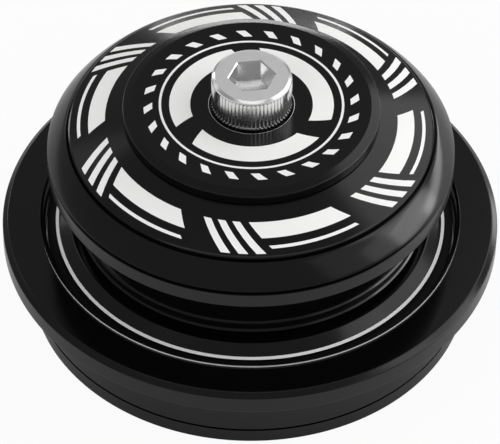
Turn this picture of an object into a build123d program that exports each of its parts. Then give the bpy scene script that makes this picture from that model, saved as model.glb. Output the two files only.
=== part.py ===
from build123d import *
from dataclasses import dataclass
import os

# A bicycle headset for a tapered fork, stacked compactly on its lower cup, which is turned flange up.
# Sizes are in millimetres. Z is the steering axis, and the end of the lower cup's skirt lies on Z = 0.

# Fits and clearances
slip_gap = 0.05             # radial, between a bearing and its cup
ball_gap = 0.08             # between a ball and its raceway
pocket_gap = 0.1            # between a ball and its cage
thread_gap = 0.05           # each of bolt and sleeve stands this far off the nominal thread
bolt_hole_gap = 0.25        # radial, bolt shank in the top cap
bolt_head_gap = 0.3         # radial, bolt head in its counterbore
turning_gap = 0.25          # between the turning cover and the still cup
wiper_gap = 0.2             # radial, crown race wiper to the lower cup's bore
lip_seal_gap = 0.15         # cover's lip seal to the upper cup
floor_gap = 0.3             # under a bearing, above the cup's lip
cover_bore_gap = 0.3        # radial, cover over the steerer

# Bearings
ball_dia = 3.175
race_wall = 1.7             # either race, beside its raceway
race_chamfer = 1.3          # 45 degree seat on both races
cage_gap = 0.4              # radial, cage to either race
cage_rim = 0.5              # cage beyond the balls, above and below
seal_thickness = 0.4
seal_inset = 0.2            # seal below the race's face
seal_bite = 0.2             # seal edge let into the outer race
seal_clearance = 0.12       # seal edge to the inner race
upper_bearing_section = 5.4  # bore to outside, radially
upper_bearing_height = 6.5
upper_ball_count = 24
lower_bearing_bore = 40.0
lower_bearing_section = 6.0
lower_bearing_height = 7.0
lower_ball_count = 32

# Both cups
cup_groove_width = 0.45
cup_groove_depth = 0.45
cup_end_step = 0.05         # lead-in band, radially inside the press fit
cup_end_bevel = 0.1
cup_mouth_bevel_width = 0.35
cup_mouth_bevel_height = 0.65
lip_margin = 0.9            # lip opening beyond the bearing's bore, radially

# Lower cup
lower_cup_wall = 2.0
lower_lip_height = 2.3
lower_skirt_height = 9.3
lower_end_band = 2.1
lower_flange_reach = 3.45
lower_flange_height = 2.9
lower_flange_bevel_width = 0.7
lower_flange_bevel_height = 0.55

# Crown race, lying on the lower bearing
crown_rise = 2.95           # top face above the bearing
crown_lift = 0.7            # underside of its flange above the bearing
crown_nose_gap = 0.3        # nose above the end of the bearing's chamfer
crown_bore_inset = 0.05     # bore inside the bearing's own bore, radially
crown_edge_gap = 1.3        # edge to the lower cup's bore, radially
crown_bevel_width = 0.39
crown_bevel_height = 0.11
crown_slope_width = 1.41
crown_slope_height = 1.01
wiper_height = 0.6
wiper_depth = 0.5           # groove in the crown race's edge
wiper_foot = 0.25           # crown race below the groove

# Upper cup
upper_cup_wall = 1.5
upper_lip_height = 3.0
upper_nose_height = 0.95
upper_nose_seat = 0.65      # nose beyond the crown race's bore, radially
upper_skirt_height = 8.15
upper_end_band = 1.66
upper_flange_reach = 3.45
upper_flange_height = 2.35
upper_flange_bevel_width = 0.9
upper_flange_bevel_height = 0.4

# Compression ring, shim and dust cover
steerer_dia = 28.6
ring_wall = 0.8             # steerer to the upper bearing's bore, radially
clamp_gap = 0.05            # radial, open compression ring over the steerer
ring_nose = 0.2             # ring below the bearing's chamfer
ring_shoulder = 0.9         # end of the ring's cone above the bearing
ring_rise = 1.4             # ring's top above the bearing
ring_slit = 1.2
spacer_thickness = 0.25
cover_wall_height = 2.77
cover_wall_lean = 2.3       # wall's top inside its foot, radially
cover_wall_bulge = 0.12
cover_lip_inset = 0.4       # cone's lip inside the wall's top, radially
cover_lip_rise = 0.41       # cone's lip above the wall's top
cover_groove_depth = 0.2    # groove beside the lip, below the wall's top
cover_cone_height = 2.17
cover_land = 1.4            # flat ring that carries the top cap, radially
cover_hub_wall = 3.4
cover_skin = 2.3            # rim of the cover outside its lip seal
cover_hollow_height = 1.75  # hollow above the cover's foot
o_ring_section = 1.6
o_ring_height = 2.1         # O-ring's centre below the cover's top
o_ring_squeeze = 0.05       # O-ring inside the steerer's surface, radially
lip_seal_width = 1.0

# Top cap
cap_foot_bevel = 0.2
cap_edge_height = 1.45      # foot to the start of the bevel
cap_edge_bevel_width = 1.1
cap_edge_bevel_height = 0.3
cap_spigot_gap = 2.6        # spigot inside the cover's bore, radially
cap_spigot_depth = 2.0

# Preload bolt, a socket-head M6
thread_dia = 6.0
bolt_length = 25.0
bolt_end_bevel = 0.6
bolt_head_dia = 10.0
bolt_head_height = 6.0
bolt_head_bevel = 0.5
bolt_head_sink = 1.2
hex_across_flats = 5.0
hex_depth = 3.2
hex_point = 1.2             # drill point below the hexagon
hex_turn = 8.0              # degrees, socket's corner ahead of +X
knurl_count = 64
knurl_depth = 0.15
knurl_foot = 0.8            # plain band under the knurl

# Star nut, threaded on the bolt
star_gap = 4.0              # sleeve's top below the top cap's spigot, its room to climb
star_sleeve_height = 10.0
star_sleeve_wall = 1.45
star_collar_lip = 1.5
star_collar_height = 1.0
star_swage_lip = 0.7
star_swage_height = 0.8
star_washer_gap = 1.3       # teeth inside the steerer's surface, radially
star_washer_thickness = 0.6
star_washer_flat = 0.4      # flat ring beyond the collar, radially
star_washer_rise = 1.6
star_tooth_count = 8
star_slot_width = 2.6
star_slot_depth = 5.0


@dataclass
class Bearing:
    """A caged angular-contact cartridge: it seats on its outer race's lower chamfer."""
    bore: float
    section: float
    height: float
    base: float
    ball_count: int

    @property
    def top(self):
        return self.base + self.height

    @property
    def middle(self):
        return self.base + self.height / 2

    @property
    def edge(self):
        return self.bore / 2 + self.section

    @property
    def pitch(self):
        return self.bore / 2 + self.section / 2

    @property
    def inner_land(self):
        return self.bore / 2 + race_wall

    @property
    def outer_land(self):
        return self.edge - race_wall


# Levels and radii that follow from the sizes above, from the floor up
ball_radius = ball_dia / 2
lower_bearing = Bearing(lower_bearing_bore, lower_bearing_section, lower_bearing_height,
                        lower_lip_height + floor_gap, lower_ball_count)
lower_bore = lower_bearing.edge + slip_gap
lower_press = lower_bore + lower_cup_wall
lower_cup_top = lower_skirt_height + lower_flange_height
crown_bore = lower_bearing_bore / 2 - crown_bore_inset
crown_edge = lower_bore - crown_edge_gap
crown_top = lower_bearing.top + crown_rise
upper_bearing_bore = steerer_dia + 2 * ring_wall
upper_bearing = Bearing(upper_bearing_bore, upper_bearing_section, upper_bearing_height,
                        crown_top + upper_lip_height + floor_gap, upper_ball_count)
upper_bore = upper_bearing.edge + slip_gap
upper_press = upper_bore + upper_cup_wall
upper_skirt_end = crown_top + upper_nose_height
upper_flange_foot = upper_skirt_end + upper_skirt_height
upper_cup_top = upper_flange_foot + upper_flange_height
upper_flange_edge = upper_press + upper_flange_reach
ring_bore = steerer_dia / 2 + clamp_gap
ring_edge = upper_bearing_bore / 2 + race_chamfer + ring_shoulder
ring_top = upper_bearing.top + ring_rise
spacer_top = ring_top + spacer_thickness
cover_foot = upper_cup_top + turning_gap
cover_bore = steerer_dia / 2 + cover_bore_gap
cover_hollow = upper_flange_edge - cover_skin
cover_ceiling = cover_foot + cover_hollow_height
cover_top = cover_foot + cover_wall_height + cover_lip_rise + cover_cone_height
o_ring_level = cover_top - o_ring_height
o_ring_centre = steerer_dia / 2 - o_ring_squeeze + o_ring_section / 2
cap_edge = cover_bore + cover_land
cap_top = cover_top + cap_edge_height + cap_edge_bevel_height
bolt_seat = cap_top - bolt_head_sink
star_top = cover_top - cap_spigot_depth - star_gap
star_foot = star_top - star_sleeve_height
star_bore = thread_dia / 2 + thread_gap
star_wall = star_bore + star_sleeve_wall
star_collar = star_wall + star_collar_lip


def turned(*corners):
    """A solid turned about Z from its section's corners, each a radius and a height."""
    section = Polyline(*[(radius, 0, height) for radius, height in corners], close=True)
    return revolve(make_face(section), Axis.Z)


def turned_band(inner, outer, low, high):
    """A plain ring of rectangular section."""
    return turned((inner, low), (outer, low), (outer, high), (inner, high))


def raceway(bearing):
    """The space that the balls sweep, with their running gap."""
    return Pos(0, 0, bearing.middle) * Torus(bearing.pitch, ball_radius + ball_gap)


def seal_base(bearing, upper):
    """Height of a seal's lower face."""
    if upper:
        return bearing.top - seal_inset - seal_thickness
    return bearing.base + seal_inset


def outer_race(bearing):
    edge = bearing.edge
    race = turned((bearing.outer_land, bearing.base), (edge - race_chamfer, bearing.base),
                  (edge, bearing.base + race_chamfer), (edge, bearing.top), (bearing.outer_land, bearing.top))
    race -= raceway(bearing)
    for upper in (False, True):
        low = seal_base(bearing, upper)
        race -= turned_band(bearing.pitch, bearing.outer_land + seal_bite, low, low + seal_thickness)
    return race


def inner_race(bearing):
    bore = bearing.bore / 2
    race = turned((bore, bearing.base), (bearing.inner_land, bearing.base), (bearing.inner_land, bearing.top),
                  (bore + race_chamfer, bearing.top), (bore, bearing.top - race_chamfer))
    return race - raceway(bearing)


def balls(bearing):
    places = Pos(0, 0, bearing.middle) * PolarLocations(bearing.pitch, bearing.ball_count)
    return Compound(children=[place * Sphere(ball_radius) for place in places])


def cage(bearing):
    reach = ball_radius + cage_rim
    ring = turned_band(bearing.inner_land + cage_gap, bearing.outer_land - cage_gap,
                       bearing.middle - reach, bearing.middle + reach)
    pocket = Rot(0, 90, 0) * Cylinder(ball_radius + pocket_gap, bearing.section)
    places = Pos(0, 0, bearing.middle) * PolarLocations(bearing.pitch, bearing.ball_count)
    return ring - [place * pocket for place in places]


def bearing_seal(bearing, upper):
    low = seal_base(bearing, upper)
    return turned_band(bearing.inner_land + seal_clearance, bearing.outer_land + seal_bite,
                       low, low + seal_thickness)


def seat_corners(bearing, bore):
    """The cup's side of a bearing: lip opening, floor and the 45 degree seat up to the bore."""
    floor = bearing.base - floor_gap
    seat_foot = bearing.edge - race_chamfer - floor_gap
    seat_head = bearing.base + race_chamfer + slip_gap
    return [(bore, seat_head), (seat_foot, floor), (bearing.bore / 2 + lip_margin, floor)]


def skirt_corners(press, end, band):
    """A press-fit skirt's outside from its end up: bevel, lead-in band and groove."""
    lead_in = press - cup_end_step
    groove = end + band
    half = cup_groove_width / 2
    return [(lead_in - cup_end_bevel, end), (lead_in, end + cup_end_bevel), (lead_in, groove - half),
            (press - cup_groove_depth, groove), (press, groove + half)]


def mouth_corners(bore, top):
    """The bevelled edge of a cup's bore."""
    return [(bore + cup_mouth_bevel_width, top), (bore, top - cup_mouth_bevel_height)]


def lower_cup():
    edge = lower_press + lower_flange_reach
    flange_corners = [(lower_press, lower_skirt_height), (edge, lower_skirt_height),
                      (edge, lower_cup_top - lower_flange_bevel_height),
                      (edge - lower_flange_bevel_width, lower_cup_top)]
    lip_corner = (lower_bearing_bore / 2 + lip_margin, 0)
    return turned(*skirt_corners(lower_press, 0, lower_end_band), *flange_corners,
                  *mouth_corners(lower_bore, lower_cup_top),
                  *seat_corners(lower_bearing, lower_bore), lip_corner)


def crown_race():
    nose = lower_bearing.top - race_chamfer + crown_nose_gap
    underside = lower_bearing.top + crown_lift
    cone_start = lower_bearing_bore / 2 - (lower_bearing.top - race_chamfer)
    slope_foot = crown_edge - crown_bevel_width
    slope_level = crown_top - crown_slope_height
    race = turned((crown_bore, nose), (cone_start + nose, nose), (cone_start + underside, underside),
                  (crown_edge, underside), (crown_edge, slope_level - crown_bevel_height),
                  (slope_foot, slope_level), (slope_foot - crown_slope_width, crown_top),
                  (crown_bore, crown_top))
    groove = underside + wiper_foot
    return race - turned_band(crown_edge - wiper_depth, crown_edge + 1, groove, groove + wiper_height)


def crown_race_seal():
    low = lower_bearing.top + crown_lift + wiper_foot
    high = low + wiper_height
    root = crown_edge - wiper_depth
    tip = lower_bore - wiper_gap
    knee = (crown_edge + tip) / 2
    return turned((root, low), (knee, low), (tip, low + wiper_height / 2), (tip, high - wiper_height / 4),
                  (knee, high), (root, high))


def upper_cup():
    nose = crown_bore + upper_nose_seat
    flange_corners = [(upper_press, upper_flange_foot),
                      (upper_flange_edge, upper_flange_foot),
                      (upper_flange_edge, upper_cup_top - upper_flange_bevel_height),
                      (upper_flange_edge - upper_flange_bevel_width, upper_cup_top)]
    lip_corner = (upper_bearing_bore / 2 + lip_margin, crown_top)
    return turned((nose, crown_top), (nose, upper_skirt_end),
                  *skirt_corners(upper_press, upper_skirt_end, upper_end_band), *flange_corners,
                  *mouth_corners(upper_bore, upper_cup_top),
                  *seat_corners(upper_bearing, upper_bore), lip_corner)


def compression_ring():
    chamfer_foot = upper_bearing.top - race_chamfer
    nose = chamfer_foot - ring_nose
    ring = turned((ring_bore, nose), (upper_bearing_bore / 2 - ring_nose, nose),
                  (ring_edge, upper_bearing.top + ring_shoulder), (ring_edge, ring_top),
                  (ring_bore, ring_top))
    slit = Pos(0, ring_edge / 2, ring_top) * Box(ring_slit, ring_edge + 2, 4 * upper_bearing_height)
    return ring - slit


def micro_spacer():
    return turned_band(cover_bore, ring_edge, ring_top, spacer_top)


def dust_cover():
    wall_head = upper_flange_edge - cover_wall_lean
    wall_top = cover_foot + cover_wall_height
    wall_middle = ((upper_flange_edge + wall_head) / 2 + cover_wall_bulge, 0,
                   (cover_foot + wall_top) / 2 + cover_wall_bulge)
    lip = wall_head - cover_lip_inset
    land = cover_bore + cover_land
    hub = cover_bore + cover_hub_wall
    wall = ThreePointArc((upper_flange_edge, 0, cover_foot), wall_middle, (wall_head, 0, wall_top))
    rest = Polyline((wall_head, 0, wall_top), (lip, 0, wall_top - cover_groove_depth),
                    (lip, 0, wall_top + cover_lip_rise), (land, 0, cover_top), (cover_bore, 0, cover_top),
                    (cover_bore, 0, spacer_top), (hub, 0, spacer_top), (hub, 0, cover_ceiling),
                    (cover_hollow, 0, cover_ceiling), (cover_hollow, 0, cover_foot),
                    (upper_flange_edge, 0, cover_foot))
    cover = revolve(make_face(wall + rest), Axis.Z)
    half = o_ring_section / 2
    return cover - turned_band(cover_bore - 1, o_ring_centre + half, o_ring_level - half, o_ring_level + half)


def cover_o_ring():
    return Pos(0, 0, o_ring_level) * Torus(o_ring_centre, o_ring_section / 2)


def cover_lip_seal():
    inner = cover_hollow - lip_seal_width
    tip = upper_cup_top + lip_seal_gap
    return turned((inner, cover_ceiling), (cover_hollow, cover_ceiling),
                  (cover_hollow, cover_foot + turning_gap), (inner + lip_seal_width / 2, tip), (inner, tip))


def top_cap():
    head = bolt_head_dia / 2 + bolt_head_gap
    hole = thread_dia / 2 + bolt_hole_gap
    spigot = cover_bore - cap_spigot_gap
    spigot_end = cover_top - cap_spigot_depth
    return turned((cap_edge - cap_edge_bevel_width, cap_top), (head, cap_top), (head, bolt_seat),
                  (hole, bolt_seat), (hole, spigot_end), (spigot, spigot_end), (spigot, cover_top),
                  (cap_edge - cap_foot_bevel, cover_top), (cap_edge, cover_top + cap_foot_bevel),
                  (cap_edge, cap_top - cap_edge_bevel_height))


def top_cap_bolt():
    head = bolt_head_dia / 2
    shank = thread_dia / 2 - thread_gap
    head_top = bolt_seat + bolt_head_height
    end = bolt_seat - bolt_length
    bolt = turned((0, end), (shank - bolt_end_bevel, end), (shank, end + bolt_end_bevel), (shank, bolt_seat),
                  (head, bolt_seat), (head, head_top - bolt_head_bevel), (head - bolt_head_bevel, head_top),
                  (0, head_top))
    hexagon = RegularPolygon(hex_across_flats / 2, 6, major_radius=False, rotation=hex_turn)
    socket_floor = head_top - hex_depth
    bolt -= Pos(0, 0, socket_floor) * extrude(hexagon, hex_depth)
    bolt -= turned((0, socket_floor - hex_point), (hex_across_flats / 2, socket_floor), (0, socket_floor))
    knurl_height = bolt_head_height - bolt_head_bevel - knurl_foot
    notch = extrude(Rot(0, 0, 45) * Rectangle(knurl_depth * 2 ** 0.5, knurl_depth * 2 ** 0.5), knurl_height)
    notches = Pos(0, 0, bolt_seat + knurl_foot) * PolarLocations(head, knurl_count)
    return bolt - [place * notch for place in notches]


def star_nut_sleeve():
    swage = star_wall + star_swage_lip
    swage_top = star_foot + star_swage_height
    collar_foot = star_top - star_collar_height
    return turned((star_bore, star_foot), (swage, star_foot), (swage, swage_top), (star_wall, swage_top),
                  (star_wall, collar_foot), (star_collar, collar_foot), (star_collar, star_top),
                  (star_bore, star_top))


def star_washer(seat):
    """A dished star with its lower face at the given height on the sleeve, teeth bent up."""
    flat = star_collar + star_washer_flat
    rim = steerer_dia / 2 - star_washer_gap
    face = seat + star_washer_thickness
    star = turned((star_wall, seat), (flat, seat), (rim, seat + star_washer_rise),
                  (rim, face + star_washer_rise), (flat, face), (star_wall, face))
    slot = Box(2 * star_slot_depth, star_slot_width, 8 * star_washer_rise)
    return star - [place * slot for place in Pos(0, 0, seat) * PolarLocations(rim, star_tooth_count)]


def star_nut_upper_washer():
    return star_washer(star_top - star_collar_height - star_washer_thickness)


def star_nut_lower_washer():
    return star_washer(star_foot + star_swage_height)


nodes = {
    "top_cap_bolt": top_cap_bolt(),
    "top_cap": top_cap(),
    "dust_cover": dust_cover(),
    "cover_o_ring": cover_o_ring(),
    "cover_lip_seal": cover_lip_seal(),
    "micro_spacer": micro_spacer(),
    "compression_ring": compression_ring(),
    "upper_bearing_outer_race": outer_race(upper_bearing),
    "upper_bearing_inner_race": inner_race(upper_bearing),
    "upper_bearing_balls": balls(upper_bearing),
    "upper_bearing_cage": cage(upper_bearing),
    "upper_bearing_top_seal": bearing_seal(upper_bearing, True),
    "upper_bearing_bottom_seal": bearing_seal(upper_bearing, False),
    "upper_cup": upper_cup(),
    "crown_race": crown_race(),
    "crown_race_seal": crown_race_seal(),
    "lower_bearing_outer_race": outer_race(lower_bearing),
    "lower_bearing_inner_race": inner_race(lower_bearing),
    "lower_bearing_balls": balls(lower_bearing),
    "lower_bearing_cage": cage(lower_bearing),
    "lower_bearing_top_seal": bearing_seal(lower_bearing, True),
    "lower_bearing_bottom_seal": bearing_seal(lower_bearing, False),
    "lower_cup": lower_cup(),
    "star_nut_sleeve": star_nut_sleeve(),
    "star_nut_upper_washer": star_nut_upper_washer(),
    "star_nut_lower_washer": star_nut_lower_washer(),
}

os.makedirs("parts", exist_ok=True)
for name, solid in nodes.items():
    export_step(solid, f"parts/{name}.step")
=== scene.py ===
from math import atan2, cos, hypot, pi, radians, sin, tau

import bmesh
import bpy
from mathutils import Matrix, Vector


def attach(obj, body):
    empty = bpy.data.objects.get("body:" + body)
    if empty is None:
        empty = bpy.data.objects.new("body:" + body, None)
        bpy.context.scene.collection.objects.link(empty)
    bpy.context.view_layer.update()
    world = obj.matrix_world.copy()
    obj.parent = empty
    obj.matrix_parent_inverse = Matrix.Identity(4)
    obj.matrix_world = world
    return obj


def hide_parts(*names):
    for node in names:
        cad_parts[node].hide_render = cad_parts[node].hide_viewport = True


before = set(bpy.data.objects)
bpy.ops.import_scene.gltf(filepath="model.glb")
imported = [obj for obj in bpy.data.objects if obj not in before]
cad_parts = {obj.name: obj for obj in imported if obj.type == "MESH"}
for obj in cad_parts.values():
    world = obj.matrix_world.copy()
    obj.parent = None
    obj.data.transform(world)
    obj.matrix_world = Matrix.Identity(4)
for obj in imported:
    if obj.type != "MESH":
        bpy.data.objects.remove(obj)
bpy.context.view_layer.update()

# A bicycle headset, stacked on its lower cup: turned black aluminium pieces with fine edge rounds,
# a knurled socket-head bolt with its thread, and a white print of plain stripes on the cover and the cap.
# Sizes of pieces are in millimetres in the CAD frame, and MM brings them to metres.
# Floor, lamps and camera are in metres.

MM = 0.001
TURN_STEPS = 192            # facets round a turned piece
ROUND_STEPS = 4             # facets across an edge round
SHARP = 34                  # degrees between faces, up to which an edge is shaded smooth
WELD = 0.0005               # points nearer than this become one
NEAR = 0.01                 # heights nearer than this count as the same

CONE_INNER = (16.0, 29.6)   # the dust cover's printed cone, radius and height at either end
CONE_OUTER = (22.8, 27.43)
CAP_TOP = 31.35
INK = 0.02                  # the print stands this far off the metal
INK_THICKNESS = 1.5 * INK   # it starts a little inside the metal
INK_STEP = 1.5              # degrees of arc in one facet of the print

BOLT_SEAT = 30.15           # the underside of the bolt's head
HEAD_TOP = 36.15
HEAD_RADIUS = 5.0
FACE_RADIUS = 4.54          # the flat on top of the head
KNURL_TEETH = 64
KNURL_DEPTH = 0.15
BOLT_STEPS = 2 * KNURL_TEETH    # a crest and a valley for each tooth
SOCKET_TURN = 38            # degrees that the hexagon is turned by
SOCKET_RADIUS = 2.887       # to the corners of the 5 mm hexagon
MOUTH_RADIUS = 3.04         # to the corners of the bevel at the hexagon's mouth
NECK_RADIUS = 2.45          # where the shank meets the head
CORE_RADIUS = 2.42          # the shank inside the thread
BOLT_END = 5.15
THREAD_START = 5.75
THREAD_PITCH = 1.0
THREAD_TURNS = 24
THREAD_STEPS = 32           # facets in one turn of the thread

FLOOR_RADIUS = 3.0
FLOOR_DROP = 0.00002        # the floor lies this far under the stack
FLOOR_SEEN = 0.94           # how much of plain white the camera sees in the floor
FLOOR_MIRRORED = 0.15       # how much of it the pieces mirror
LAMP_AIM = Vector((0, 0, 0.018))
LAMP_DISTANCE = 0.5
CAMERA_AIM = Vector((0, 0, 0.0094))
CAMERA_DISTANCE = 0.5


# Materials

def linear(colour):
    """The linear values of an sRGB hex colour."""
    channels = [int(colour[i:i + 2], 16) / 255 for i in (1, 3, 5)]
    return [c / 12.92 if c <= 0.04045 else ((c + 0.055) / 1.055) ** 2.4 for c in channels] + [1.0]


def add(tree, kind, settings, links=None):
    """Adds a node: settings are its own options or socket values, links are the sockets it is fed from."""
    node = tree.nodes.new(kind)
    for key, value in settings.items():
        if isinstance(key, int) or key in node.inputs:
            node.inputs[key].default_value = value
        else:
            setattr(node, key, value)
    for key, source in (links or {}).items():
        tree.links.new(source, node.inputs[key])
    return node


class Finish:
    """A procedural material: patterns sized in millimetres, led to one Principled shader."""

    def __init__(self, name, **constants):
        self.material = bpy.data.materials.new(name)
        self.material.use_nodes = True
        self.tree = self.material.node_tree
        self.shader = self.tree.nodes["Principled BSDF"]
        for key, value in constants.items():
            self.shader.inputs[key.replace("_", " ")].default_value = value
        self.place = add(self.tree, "ShaderNodeTexCoord", {}).outputs["Object"]

    def grains(self, size, detail, **settings):
        """A noise with grains about this many millimetres across."""
        settings.update({"Scale": 1 / (size * MM), "Detail": detail})
        return add(self.tree, "ShaderNodeTexNoise", settings, {"Vector": self.place}).outputs["Fac"]

    def rings(self, spacing, **settings):
        """Rings about Z that lie this many millimetres apart."""
        settings.update({"wave_type": "RINGS", "rings_direction": "Z", "Scale": tau / (20 * spacing * MM)})
        return add(self.tree, "ShaderNodeTexWave", settings, {"Vector": self.place}).outputs["Fac"]

    def colour(self, pattern, low, high):
        """Lets a pattern lead the colour between two hex colours."""
        mix = add(self.tree, "ShaderNodeMix", {"data_type": "RGBA", 6: linear(low), 7: linear(high)},
                  {"Factor": pattern})
        self.tree.links.new(mix.outputs["Result"], self.shader.inputs["Base Color"])

    def roughness(self, pattern, low, high):
        """Lets a pattern lead the roughness between two values."""
        span = add(self.tree, "ShaderNodeMapRange", {"To Min": low, "To Max": high}, {"Value": pattern})
        self.tree.links.new(span.outputs["Result"], self.shader.inputs["Roughness"])

    def relief(self, pattern, depth, strength=0.5):
        """Raises a pattern by this many millimetres, on top of the relief that is there."""
        bump = add(self.tree, "ShaderNodeBump", {"Strength": strength, "Distance": depth * MM},
                   {"Height": pattern})
        normal = self.shader.inputs["Normal"]
        if normal.is_linked:
            self.tree.links.new(normal.links[0].from_socket, bump.inputs["Normal"])
        self.tree.links.new(bump.outputs["Normal"], normal)


def black_anodised_aluminium():
    # Turned aluminium, anodised and dyed black: near black by itself, it shows what stands round it in a
    # satin reflection, drawn out a little by the turning rings. They are 0.25 mm apart, so that they show.
    finish = Finish("black_anodised_aluminium", IOR=1.42)
    cloud = finish.grains(2.5, 3.0)
    grain = finish.grains(0.09, 2.0)
    rings = finish.rings(0.25, Distortion=0.4, Detail=1.0)
    finish.colour(cloud, "#050505", "#080809")
    finish.roughness(grain, 0.12, 0.2)
    finish.relief(rings, 0.0006)
    finish.relief(grain, 0.0015)
    return finish.material


def bright_cut_and_painted_glint():
    # A bevel cut through the black skin after anodising: bare aluminium, so finely matt that it stays pale
    # from every side, with tool rings close together.
    # On the lower cup's lip this pale finish is a painted highlight: it stands in for the glint along the
    # front of the mouth.
    finish = Finish("bright_cut_and_painted_glint", Metallic=0.1)
    grain = finish.grains(0.6, 2.0)
    rings = finish.rings(0.08)
    finish.colour(grain, "#f4f4f4", "#fcfcfc")
    finish.roughness(grain, 0.68, 0.78)
    finish.relief(rings, 0.002)
    return finish.material


def plated_bolt_steel():
    # Cold-headed steel with a bright nickel plate: pale grey, softly shining, faintly mottled by the plate.
    finish = Finish("plated_bolt_steel", Metallic=1.0)
    cloud = finish.grains(1.2, 4.0)
    grain = finish.grains(0.12, 2.0)
    finish.colour(cloud, "#f0f0f0", "#f8f8f8")
    finish.roughness(cloud, 0.17, 0.24)
    finish.relief(grain, 0.0007)
    return finish.material


def faced_bolt_steel():
    # The bolt's flat end under the same plate, finely blasted: an even light grey that hardly mirrors.
    finish = Finish("faced_bolt_steel", Metallic=0.75)
    cloud = finish.grains(1.2, 4.0)
    grain = finish.grains(0.1, 2.0)
    finish.colour(cloud, "#f0f0f0", "#f8f8f8")
    finish.roughness(cloud, 0.28, 0.36)
    finish.relief(grain, 0.002)
    return finish.material


def white_screen_ink():
    # Screen-printed epoxy ink: opaque white, flatter than the metal, with the faint pebble of the print mesh.
    finish = Finish("white_screen_ink", IOR=1.5)
    pebble = finish.grains(0.12, 2.0)
    finish.colour(pebble, "#f8f8f7", "#fdfdfc")
    finish.roughness(pebble, 0.45, 0.6)
    finish.relief(pebble, 0.003, strength=0.4)
    return finish.material


def moulded_nitrile_rubber():
    # Moulded nitrile rubber: dull black with a faint grey bloom and the grain of its mould.
    finish = Finish("moulded_nitrile_rubber", IOR=1.5, Specular_IOR_Level=0.12)
    bloom = finish.grains(1.5, 4.0)
    grain = finish.grains(0.1, 2.0)
    finish.colour(bloom, "#070707", "#0e0e0f")
    finish.roughness(grain, 0.55, 0.75)
    finish.relief(grain, 0.01)
    return finish.material


def ground_bearing_steel():
    # Through-hardened steel, ground round: bright and cool, with grinding lines that run round the race.
    finish = Finish("ground_bearing_steel", Metallic=1.0)
    grain = finish.grains(0.8, 3.0)
    rings = finish.rings(0.15, Distortion=0.6)
    finish.colour(grain, "#b4b6b9", "#c3c5c8")
    finish.roughness(rings, 0.16, 0.26)
    finish.relief(rings, 0.001)
    return finish.material


def moulded_nylon():
    # Glass-filled nylon cage, injection moulded: warm tan with the fibres as small paler flecks.
    finish = Finish("moulded_nylon", IOR=1.53)
    fibre = finish.grains(0.2, 3.0, Distortion=0.8)
    finish.colour(fibre, "#a98f63", "#bfa67c")
    finish.roughness(fibre, 0.4, 0.55)
    finish.relief(fibre, 0.004, strength=0.4)
    return finish.material


def turned_ring_alloy():
    # Bare turned aluminium of the compression ring: pale metal with tool rings close together.
    finish = Finish("turned_ring_alloy", Metallic=1.0)
    grain = finish.grains(1.0, 3.0)
    rings = finish.rings(0.12, Distortion=0.3)
    finish.colour(grain, "#c6c8ca", "#d6d7d9")
    finish.roughness(grain, 0.25, 0.38)
    finish.relief(rings, 0.002)
    return finish.material


def zinc_plated_steel():
    # Pressed steel with a clear zinc plate: bluish grey, cloudy where the plate is thicker, with press scuffs.
    finish = Finish("zinc_plated_steel", Metallic=1.0)
    cloud = finish.grains(1.8, 5.0)
    scuff = finish.grains(0.15, 2.0)
    finish.colour(cloud, "#a9adb2", "#c4c8cd")
    finish.roughness(cloud, 0.28, 0.45)
    finish.relief(scuff, 0.003)
    return finish.material


black = black_anodised_aluminium()
bright = bright_cut_and_painted_glint()
bolt_steel = plated_bolt_steel()
bolt_face = faced_bolt_steel()
ink = white_screen_ink()
rubber = moulded_nitrile_rubber()
bearing_steel = ground_bearing_steel()
nylon = moulded_nylon()
ring_alloy = turned_ring_alloy()
zinc = zinc_plated_steel()


# Pieces

def place_object(name, data):
    """Puts a mesh, a lamp or a camera into the scene."""
    thing = bpy.data.objects.new(name, data)
    bpy.context.scene.collection.objects.link(thing)
    return thing


def finish_piece(name, bm, finishes, body, nodes=(), sharp=SHARP):
    """Makes the mesh an object at the origin, shaded smooth up to its sharp edges, that rides on its body."""
    bmesh.ops.scale(bm, vec=(MM, MM, MM), verts=bm.verts)
    mesh = bpy.data.meshes.new(name)
    bm.to_mesh(mesh)
    bm.free()
    for finish in finishes:
        mesh.materials.append(finish)
    mesh.shade_smooth()
    mesh.set_sharp_from_angle(angle=radians(sharp))
    piece = place_object(name, mesh)
    weighted = piece.modifiers.new("even_faces", "WEIGHTED_NORMAL")
    weighted.keep_sharp = True
    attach(piece, body)
    if nodes:
        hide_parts(*nodes)


def turn_section(bm, corners, steps=TURN_STEPS, closed=True):
    """Spins a section about Z. Its corners are radius, height and edge round. An open one has no rounds."""
    verts = [bm.verts.new((radius, 0, height)) for radius, height, edge_round in corners]
    if closed:
        bm.faces.new(verts)
        for size in sorted({edge_round for radius, height, edge_round in corners if edge_round}):
            rounded = [v for v, corner in zip(verts, corners) if corner[2] == size]
            bmesh.ops.bevel(bm, geom=rounded, offset=size, offset_type="OFFSET", affect="VERTICES",
                            segments=ROUND_STEPS, profile=0.5, material=-1)
        bmesh.ops.delete(bm, geom=list(bm.faces), context="FACES_ONLY")
    else:
        for pair in zip(verts, verts[1:]):
            bm.edges.new(pair)
    geom = list(bm.verts) + list(bm.edges)
    bmesh.ops.spin(bm, geom=geom, cent=(0, 0, 0), axis=(0, 0, 1), angle=tau, steps=steps, use_merge=True)
    bmesh.ops.remove_doubles(bm, verts=bm.verts, dist=WELD)
    bmesh.ops.recalc_face_normals(bm, faces=bm.faces)


def second_finish(bm, low, high):
    """Gives the faces between two section points, radius and height, the piece's second finish."""
    for face in bm.faces:
        middle = face.calc_center_median()
        radius = hypot(middle.x, middle.y)
        if low[0] < radius < high[0] and low[1] < middle.z < high[1]:
            face.material_index = 1


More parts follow.
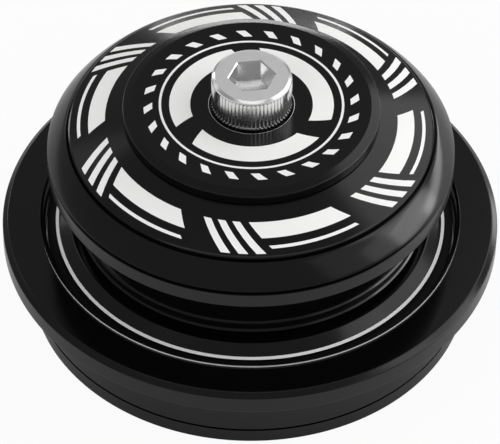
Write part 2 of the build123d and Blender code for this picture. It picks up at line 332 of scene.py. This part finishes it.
def bulged(start, end, bulge, count):
    """Section points between two corners on a shallow curve."""
    run = Vector(end) - Vector(start)
    out = Vector((run.y, -run.x)).normalized()
    points = [Vector(start) + run * i / count + out * 4 * bulge * (i / count) * (1 - i / count)
              for i in range(1, count)]
    return [(p.x, p.y, 0) for p in points]


def lower_cup():
    """The wide cup, flange up, with a thin lip round its mouth whose outer face is painted pale: a painted
    highlight for the glint along the front of the mouth.
    """
    lip_foot, lip_edge = (26.7, 12.2), (26.74, 12.47)
    bm = bmesh.new()
    turn_section(bm, [
        # end of the skirt, then its groove line
        (20.9, 0.0, 0.1), (28.05, 0.0, 0.2),
        (28.05, 2.0, 0.03), (27.65, 2.0, 0), (27.65, 2.28, 0), (28.05, 2.28, 0.06),
        # flange
        (28.05, 9.3, 0.1), (31.5, 9.3, 0.14), (31.5, 11.65, 0.1), (30.8, 12.2, 0.1),
        # lip, whose outer face from its foot to its edge is painted pale as a painted highlight
        (*lip_foot, 0), (*lip_edge, 0), (26.71, 12.5, 0), (26.62, 12.47, 0), (26.55, 12.2, 0),
        # mouth, bore and bearing seat
        (26.4, 12.15, 0), (26.05, 11.55, 0.03), (26.05, 3.95, 0.1), (24.4, 2.3, 0.1), (20.9, 2.3, 0.1),
    ])
    # the pale finish on the lip's outer face is a painted highlight, standing in for the glint along the front
    # of the mouth
    second_finish(bm, lip_foot, lip_edge)
    finish_piece("lower_cup_shell", bm, [black, bright], "lower_cup_stack", ["lower_cup"])


def crown_race():
    """The fork crown's ring: a dark slope down to a bright cut bevel, and the wiper's groove in its edge."""
    bm = bmesh.new()
    turn_section(bm, [
        # top, bore and bearing seat
        (22.95, 12.55, 0.1), (19.95, 12.55, 0.1), (19.95, 8.6, 0.08), (20.3, 8.6, 0.08), (22.0, 10.3, 0.1),
        # edge with the wiper's groove
        (24.75, 10.3, 0.04), (24.75, 10.55, 0.04), (24.25, 10.55, 0.04), (24.25, 11.15, 0.04),
        (24.75, 11.15, 0.04),
        # bright bevel, with the slope from its upper end
        (24.75, 11.43, 0.02), (24.36, 11.54, 0.02),
    ])
    second_finish(bm, (24.36, 11.42), (24.76, 11.54))
    finish_piece("crown_race_ring", bm, [black, bright], "crown_stack", ["crown_race"])


def upper_cup():
    """The cup under the dust cover, with two fine grooves near the end of its skirt."""
    bm = bmesh.new()
    turn_section(bm, [
        # boss that stands on the crown race, and end of the skirt
        (16.0, 12.55, 0.1), (20.6, 12.55, 0.08), (20.6, 13.5, 0.04), (21.95, 13.5, 0.04),
        # lower groove, slight taper, upper groove
        (22.05, 13.58, 0.01), (22.05, 13.6, 0.01), (21.85, 13.8, 0.02), (21.85, 14.05, 0.02),
        (21.94, 14.1, 0.02), (22.05, 15.08, 0.02),
        (21.85, 15.28, 0.02), (21.85, 15.55, 0.02), (22.05, 15.6, 0.03),
        # flange
        (22.05, 21.65, 0.1), (25.5, 21.65, 0.12), (25.5, 23.65, 0.05), (24.6, 24.0, 0.08),
        # mouth, bore and bearing seat
        (20.9, 24.0, 0.05), (20.55, 23.35, 0.05), (20.55, 17.2, 0.1), (18.9, 15.55, 0.1), (16.0, 15.55, 0.1),
    ])
    finish_piece("upper_cup_shell", bm, [black], "crown_stack", ["upper_cup"])


def dust_cover():
    """The cone over a bulged wall, parted by the small groove under the cone's lip."""
    foot, brow = (25.5, 24.25), (23.2, 27.02)
    bm = bmesh.new()
    turn_section(bm, [
        # wall
        (23.2, 24.25, 0.05), (*foot, 0.03), *bulged(foot, brow, 0.12, 8), (*brow, 0.06),
        # groove, lip and cone
        (22.8, 26.82, 0), (22.8, 27.368, 0.02), (22.57, 27.503, 0.02), (*CONE_INNER, 0.05),
        # bore with its O-ring groove
        (14.6, 29.6, 0.1), (14.6, 28.3, 0.05), (15.85, 28.3, 0.05), (15.85, 26.7, 0.05), (14.6, 26.7, 0.05),
        # sleeve and hollow
        (14.6, 24.0, 0.1), (18.0, 24.0, 0.1), (18.0, 26.0, 0.1), (23.2, 26.0, 0.1),
    ])
    finish_piece("dust_cover_shell", bm, [black], "cover_stack", ["dust_cover"])


def top_cap():
    """The cap: bevelled edge, counterbore for the bolt head with a thin bright edge, and a spigot below."""
    bore, bore_round = 5.3, 0.06
    bm = bmesh.new()
    turn_section(bm, [
        # top, counterbore and bolt hole
        (14.9, CAP_TOP, 0.06), (bore, CAP_TOP, bore_round), (bore, BOLT_SEAT, 0.05), (3.25, BOLT_SEAT, 0.05),
        # spigot
        (3.25, 27.6, 0.1), (12.0, 27.6, 0.15), (12.0, 29.6, 0.05),
        # edge
        (15.8, 29.6, 0.04), (16.0, 29.8, 0.04), (16.0, 31.05, 0.12),
    ])
    second_finish(bm, (bore, CAP_TOP - bore_round), (bore + bore_round, CAP_TOP))
    finish_piece("top_cap_disc", bm, [black, bright], "cover_stack", ["top_cap"])


def knurled_head(bm):
    """The bolt's spun head, open on top, with every second facet line of its wall drawn in for the knurl."""
    low, high = BOLT_SEAT + 0.8, HEAD_TOP - 0.55    # ends of the knurl
    turn_section(bm, [
        # underside and plain collar
        (NECK_RADIUS, BOLT_SEAT, 0), (4.85, BOLT_SEAT, 0), (HEAD_RADIUS, BOLT_SEAT + 0.15, 0),
        (HEAD_RADIUS, low - 0.15, 0),
        # knurled wall
        (HEAD_RADIUS, low, 0), (HEAD_RADIUS, high, 0),
        # shoulder
        (4.97, high + 0.15, 0), (4.9, high + 0.33, 0), (4.6, HEAD_TOP - 0.04, 0), (FACE_RADIUS, HEAD_TOP, 0),
    ], steps=BOLT_STEPS, closed=False)
    valleys = [v for v in bm.verts if low - NEAR < v.co.z < high + NEAR
               and round(atan2(v.co.y, v.co.x) * KNURL_TEETH / pi) % 2]
    drawn_in = 1 - KNURL_DEPTH / HEAD_RADIUS
    bmesh.ops.scale(bm, vec=(drawn_in, drawn_in, 1), verts=valleys)


def hexagon_socket(bm):
    """Closes the head round the hexagon's mouth and sinks the socket: bevel, walls, floor, drilled point."""
    bevel_depth, wall_depth, point_depth = 0.2, 3.0, 1.0
    floor_depth, floor_share = 0.05, 0.97    # a small step in at the foot of the walls
    sinks = ((bevel_depth, SOCKET_RADIUS / MOUTH_RADIUS), (wall_depth, 1.0), (floor_depth, floor_share))
    rim = [e for e in bm.edges if e.is_boundary and e.verts[0].co.z > HEAD_TOP - NEAR]
    turn = Matrix.Translation((0, 0, HEAD_TOP)) @ Matrix.Rotation(radians(SOCKET_TURN), 4, "Z")
    mouth = bmesh.ops.create_circle(bm, segments=6, radius=MOUTH_RADIUS, matrix=turn)["verts"]
    ring = list({e for v in mouth for e in v.link_edges})
    bmesh.ops.triangle_fill(bm, edges=rim + ring, use_beauty=True, use_dissolve=False, normal=(0, 0, 1))
    for sink, size in sinks:
        grown = bmesh.ops.extrude_edge_only(bm, edges=ring)["geom"]
        verts = [g for g in grown if isinstance(g, bmesh.types.BMVert)]
        ring = [g for g in grown if isinstance(g, bmesh.types.BMEdge) and all(v in verts for v in g.verts)]
        bmesh.ops.translate(bm, vec=(0, 0, -sink), verts=verts)
        bmesh.ops.scale(bm, vec=(size, size, 1), verts=verts)
    floor = bmesh.ops.edgeloop_fill(bm, edges=ring)["faces"]
    bmesh.ops.poke(bm, faces=floor, offset=0)
    point = min((v for v in bm.verts if hypot(v.co.x, v.co.y) < NEAR), key=lambda v: v.co.z)
    bmesh.ops.translate(bm, vec=(0, 0, -point_depth), verts=[point])


def shank_core():
    """The shank inside the thread, from its bevelled end to the head."""
    core = bmesh.new()
    turn_section(core, [(0.0, BOLT_END, 0), (2.2, BOLT_END, 0), (CORE_RADIUS, BOLT_END + 0.25, 0),
                        (CORE_RADIUS, BOLT_SEAT - 0.3, 0), (NECK_RADIUS, BOLT_SEAT, 0)],
                 steps=BOLT_STEPS, closed=False)
    return core


def helical_thread():
    """The thread's section, radius and height, wound up the shank."""
    section = [(2.38, -0.44), (2.95, -0.07), (2.95, 0.07), (2.38, 0.44)]
    thread = bmesh.new()
    profile = [thread.verts.new((radius, 0, THREAD_START + height)) for radius, height in section]
    edges = [thread.edges.new((profile[i], profile[i - 1])) for i in range(len(profile))]
    wound = bmesh.ops.spin(thread, geom=profile + edges, cent=(0, 0, 0), axis=(0, 0, 1),
                           angle=tau * THREAD_TURNS, steps=THREAD_STEPS * THREAD_TURNS,
                           dvec=(0, 0, THREAD_PITCH / THREAD_STEPS))
    thread.faces.new(profile)
    thread.faces.new([g for g in wound["geom_last"] if isinstance(g, bmesh.types.BMVert)])
    bmesh.ops.recalc_face_normals(thread, faces=thread.faces)
    return thread


def preload_bolt():
    """A socket-head bolt: knurled head with a hexagon socket and a faced top, and a thread on its shank."""
    bm = bmesh.new()
    knurled_head(bm)
    hexagon_socket(bm)
    for extra in (shank_core(), helical_thread()):
        mesh = bpy.data.meshes.new("bolt_shank")
        extra.to_mesh(mesh)
        extra.free()
        bm.from_mesh(mesh)
        bpy.data.meshes.remove(mesh)
    bmesh.ops.remove_doubles(bm, verts=bm.verts, dist=WELD)
    bmesh.ops.recalc_face_normals(bm, faces=bm.faces)
    second_finish(bm, (0, HEAD_TOP - NEAR), (FACE_RADIUS, HEAD_TOP + NEAR))
    finish_piece("preload_bolt_body", bm, [bolt_steel, bolt_face], "preload_bolt",
                 ["top_cap_bolt"], sharp=30)


def cone_height(radius):
    """The print's height on the dust cover's cone."""
    share = (radius - CONE_INNER[0]) / (CONE_OUTER[0] - CONE_INNER[0])
    return CONE_INNER[1] + share * (CONE_OUTER[1] - CONE_INNER[1]) + INK


def cap_height(radius):
    """The print's height on the flat cap, the same at every radius."""
    return CAP_TOP + INK


def print_band(bm, surface, inner, outer, start, sweep, lean=0.0):
    """One white band between two radii: a line that leans by some degrees, spun through the band's sweep."""
    parts = 4
    line = []
    for i in range(parts + 1):
        radius = inner + (outer - inner) * i / parts
        angle = radians(start + lean * i / parts)
        line.append(bm.verts.new((radius * cos(angle), radius * sin(angle), surface(radius))))
    edges = [bm.edges.new(pair) for pair in zip(line, line[1:])]
    bmesh.ops.spin(bm, geom=line + edges, cent=(0, 0, 0), axis=(0, 0, 1), angle=radians(sweep),
                   steps=max(2, round(sweep / INK_STEP)), use_merge=sweep == 360)


def finish_print(name, bm):
    """Turns the bands face up and gives them the ink's thickness."""
    bmesh.ops.recalc_face_normals(bm, faces=bm.faces)
    bmesh.ops.reverse_faces(bm, faces=[f for f in bm.faces if f.normal.z < 0])
    bmesh.ops.solidify(bm, geom=bm.faces, thickness=INK_THICKNESS)
    finish_piece(name, bm, [ink], "cover_stack")


def cover_print():
    """Six even groups round the cone: three leaning bars, a broad arc and a thin line."""
    bm = bmesh.new()
    for group in range(6):
        start = 60 * group + 12
        for bar in range(3):
            print_band(bm, cone_height, 18.2, 22.3, start + 5.6 * bar, sweep=3.0, lean=9)
        print_band(bm, cone_height, 18.2, 20.3, start + 17.5, sweep=33, lean=4.6)
        print_band(bm, cone_height, 21.3, 21.7, start + 24.3, sweep=30.5, lean=0.9)
    finish_print("cover_print", bm)


def cap_print():
    """Three bold arcs round the bolt, a thin ring outside them, and an even ring of short strokes."""
    bm = bmesh.new()
    for arc in range(3):
        print_band(bm, cap_height, 7.6, 10.2, 120 * arc - 142, sweep=100, lean=7)
    print_band(bm, cap_height, 11.2, 11.5, 0, sweep=360)
    for stroke in range(24):
        print_band(bm, cap_height, 12.3, 13.4, 15 * stroke, sweep=5, lean=4)
    finish_print("cap_print", bm)


for make in (lower_cup, crown_race, upper_cup, dust_cover, top_cap, preload_bolt, cover_print, cap_print):
    make()

node_finishes = {
    bearing_steel: ["upper_bearing_outer_race", "upper_bearing_inner_race", "upper_bearing_balls",
                    "lower_bearing_outer_race", "lower_bearing_inner_race", "lower_bearing_balls"],
    nylon: ["upper_bearing_cage", "lower_bearing_cage"],
    rubber: ["cover_o_ring", "cover_lip_seal", "crown_race_seal", "upper_bearing_top_seal",
             "upper_bearing_bottom_seal", "lower_bearing_top_seal", "lower_bearing_bottom_seal"],
    ring_alloy: ["compression_ring"],
    zinc: ["micro_spacer", "star_nut_sleeve", "star_nut_upper_washer", "star_nut_lower_washer"],
}
for finish, nodes in node_finishes.items():
    for node in nodes:
        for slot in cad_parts[node].material_slots:
            slot.material = finish


# Floor, light and camera

def white_floor():
    """A pale floor that keeps a soft shadow: nearly plain white to the camera, partly so in a reflection."""
    bm = bmesh.new()
    bmesh.ops.create_circle(bm, cap_ends=True, segments=96, radius=FLOOR_RADIUS,
                            matrix=Matrix.Translation((0, 0, -FLOOR_DROP)))
    mesh = bpy.data.meshes.new("floor")
    bm.to_mesh(mesh)
    bm.free()
    material = bpy.data.materials.new("white_sweep")
    material.use_nodes = True
    tree = material.node_tree
    tree.nodes.remove(tree.nodes["Principled BSDF"])
    path = add(tree, "ShaderNodeLightPath", {})
    mirrored = add(tree, "ShaderNodeMath", {"operation": "MAXIMUM"},
                   {0: path.outputs["Is Glossy Ray"], 1: path.outputs["Is Transmission Ray"]})
    faint = add(tree, "ShaderNodeMath", {"operation": "MULTIPLY", 1: FLOOR_MIRRORED}, {0: mirrored.outputs[0]})
    share = add(tree, "ShaderNodeMath", {"operation": "MULTIPLY_ADD", 1: FLOOR_SEEN},
                {0: path.outputs["Is Camera Ray"], 2: faint.outputs[0]})
    lit = add(tree, "ShaderNodeBsdfDiffuse", {"Color": linear("#e0e0e0")})
    plain = add(tree, "ShaderNodeEmission", {"Color": linear("#ffffff"), "Strength": 1.0})
    both = add(tree, "ShaderNodeMixShader", {}, {0: share.outputs[0], 1: lit.outputs[0], 2: plain.outputs[0]})
    tree.links.new(both.outputs[0], tree.nodes["Material Output"].inputs["Surface"])
    mesh.materials.append(material)
    floor = place_object("floor", mesh)


def soft_lamp(name, azimuth, elevation, width, height, radiance, reflected=True):
    """A softbox that faces the stack from an azimuth, counted from +X towards +Y, and an elevation."""
    lamp = bpy.data.lights.new(name, "AREA")
    lamp.shape = "RECTANGLE"
    lamp.size, lamp.size_y = width, height
    lamp.energy = pi * width * height * radiance
    turn, tilt = radians(azimuth), radians(elevation)
    back = Vector((cos(turn) * cos(tilt), sin(turn) * cos(tilt), sin(tilt)))
    box = place_object(name, lamp)
    box.matrix_world = (Matrix.Translation(LAMP_AIM + back * LAMP_DISTANCE)
                        @ back.to_track_quat("Z", "Y").to_matrix().to_4x4())
    box.visible_camera = False
    box.visible_glossy = reflected


def studio_light():
    """Even grey surroundings, a large softbox on the right with brighter ones under it, small ones for the
    edges, and two fills that light the print and the bright edges but are not mirrored in the metal."""
    world = bpy.data.worlds.new("studio")
    world.use_nodes = True
    world.node_tree.nodes["Background"].inputs["Color"].default_value = linear("#8f8f8f")
    bpy.context.scene.world = world
    soft_lamp("right_softbox", 24, 43, 0.7, 0.36, 1.3)
    soft_lamp("right_bright_softbox", 2, 12, 0.26, 0.2, 3.0)
    soft_lamp("right_glow_softbox", -8, 18, 0.36, 0.2, 0.87)
    soft_lamp("right_low_strip", 30, 6, 0.4, 0.08, 4)
    soft_lamp("right_edge_softbox", -30, 28, 0.36, 0.32, 0.36)
    soft_lamp("left_softbox", 142, 38, 0.18, 0.14, 0.55)
    soft_lamp("left_low_softbox", 134, 16, 0.1, 0.06, 4.7)
    soft_lamp("front_strip", -90, 73, 0.6, 0.05, 1.26)
    soft_lamp("back_strip", 90, 14, 0.2, 0.03, 9.5)
    soft_lamp("overhead_fill", 220, 62, 0.6, 0.6, 0.5, reflected=False)
    soft_lamp("left_fill", 230, 24, 0.6, 0.5, 1.0, reflected=False)


def photo_camera():
    """The photograph's view: about 45 degrees down from half a metre, 500 by 444 pixels."""
    elevation, roll, pitch = radians(45.463), radians(0.735), radians(0.09)
    back = Vector((0, -cos(elevation), sin(elevation)))
    right = Vector((1, 0, 0))
    forward = -back * cos(pitch) + back.cross(right) * sin(pitch)
    up = right.cross(forward)
    rolled_right = right * cos(roll) + up * sin(roll)
    rolled_up = up * cos(roll) - right * sin(roll)
    data = bpy.data.cameras.new("photo_camera")
    data.sensor_fit = "HORIZONTAL"
    data.sensor_width = 36
    data.lens = 281.55
    camera = place_object("photo_camera", data)
    turn = Matrix((rolled_right, rolled_up, -forward)).transposed().to_4x4()
    camera.matrix_world = Matrix.Translation(CAMERA_AIM + back * CAMERA_DISTANCE) @ turn
    bpy.context.scene.camera = camera


white_floor()
studio_light()
photo_camera()
bpy.context.scene.view_settings.view_transform = "Standard"
